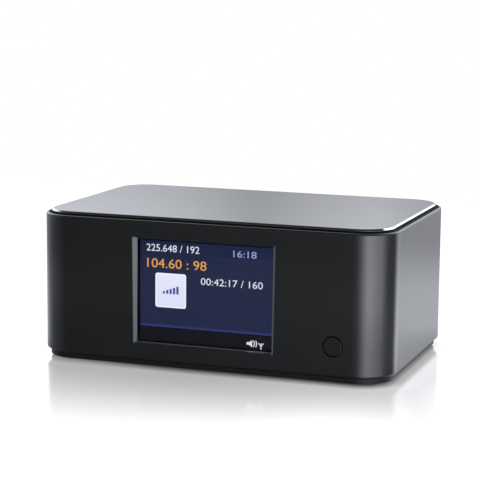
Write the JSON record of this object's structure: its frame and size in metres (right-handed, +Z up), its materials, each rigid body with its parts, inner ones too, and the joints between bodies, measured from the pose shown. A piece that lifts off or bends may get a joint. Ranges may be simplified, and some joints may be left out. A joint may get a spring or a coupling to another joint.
{
  "type": "digital radio adapter",
  "caption": "Desktop digital radio receiver box with a recessed colour display and a push button in front, and aerial, sound and power sockets at the back.",
  "frame": {"origin": "on the surface the adapter stands on, in the middle of its width and of its depth with the rear sockets", "axes": "+X to the right along the front, +Y to the back, +Z up; the display and the button face -Y"},
  "size_m": [0.154, 0.1098, 0.0634],
  "materials": {
    "case_black": "fine satin black moulding",
    "plate_black": "black, finely brushed along the width, bright cut edge",
    "inner_black": "plain black moulding",
    "rubber_black": "matt",
    "window_clear": "clear, glossy",
    "foam_black": "closed foam",
    "display_glass": "lit colour display",
    "light_plate": "white, translucent",
    "screw_steel": "zinc plated",
    "screw_black": "blackened steel",
    "tin": "tinned sheet",
    "board_green": "solder mask",
    "chip_black": "moulded package",
    "connector_white": "natural nylon",
    "ribbon_amber": "film",
    "nickel": "nickel plated",
    "insert_white": "moulded",
    "insert_red": "moulded",
    "contact_gold": "gold flash",
    "insulator_cream": "moulded",
    "cable_black": "jacket",
    "can_aluminium": "drawn can",
    "receiver_violet": "dark filter resin"
  },
  "bodies": {
    "root": {"body_sleeve": "case_black", "top_cover": "case_black", "top_plate": "plate_black", "base_plate": "case_black", "rubber_feet": "rubber_black", "case_screws": "screw_black", "display_window": "window_clear", "display_gasket": "foam_black", "lcd_frame": "tin", "lcd_panel": "display_glass", "backlight_plate": "light_plate", "display_carrier": "inner_black", "carrier_screws": "screw_steel", "front_board": "board_green", "front_board_screws": "screw_steel", "ir_receiver": "receiver_violet", "tact_switch": "chip_black", "lcd_ribbon": "ribbon_amber", "ribbon_connector": "connector_white", "main_board": "board_green", "board_screws": "screw_steel", "link_sockets": "connector_white", "link_cable": "ribbon_amber", "module_headers": "chip_black", "radio_module": "board_green", "radio_shield": "tin", "processor_chip": "chip_black", "memory_chips": "chip_black", "audio_converter": "chip_black", "power_regulator": "chip_black", "clock_crystal": "tin", "power_coil": "chip_black", "capacitors": "can_aluminium", "rear_panel": "inner_black", "rear_panel_screws": "screw_black", "rca_body": "inner_black", "rca_shells": "nickel", "rca_insert_white": "insert_white", "rca_insert_red": "insert_red", "rca_contacts": "contact_gold", "socket_screw": "screw_black", "optical_socket": "inner_black", "shutter_pin": "screw_steel", "optical_emitter": "receiver_violet", "antenna_socket": "nickel", "antenna_insulator": "insulator_cream", "antenna_washer": "nickel", "antenna_nut": "nickel", "lead_plug": "contact_gold", "antenna_lead": "cable_black", "dc_jack": "inner_black", "dc_pin": "nickel"},
    "button": {"power_button": "case_black"},
    "plunger": {"switch_plunger": "inner_black"},
    "shutter": {"optical_shutter": "inner_black"}
  },
  "joints": [
    {"name": "button_push", "type": "slide", "parent": "root", "child": "button", "axis": [0, 1, 0], "range_m": [0, 0.0005], "stiffness_N_per_m": 600, "springref_m": -0.0008},
    {"name": "plunger_push", "type": "slide", "parent": "root", "child": "plunger", "axis": [0, 1, 0], "range_m": [0, 0.0005]},
    {"name": "shutter_swing", "type": "hinge", "parent": "root", "child": "shutter", "pos_m": [-0.008, 0.04465, 0.0212], "axis": [-1, 0, 0], "range_deg": [0, 85], "stiffness_Nm_per_rad": 0.0002, "springref_deg": -20.05}
  ],
  "couplings": [
    {"joint": "plunger_push", "follows": "button_push", "ratio": 1}
  ]
}
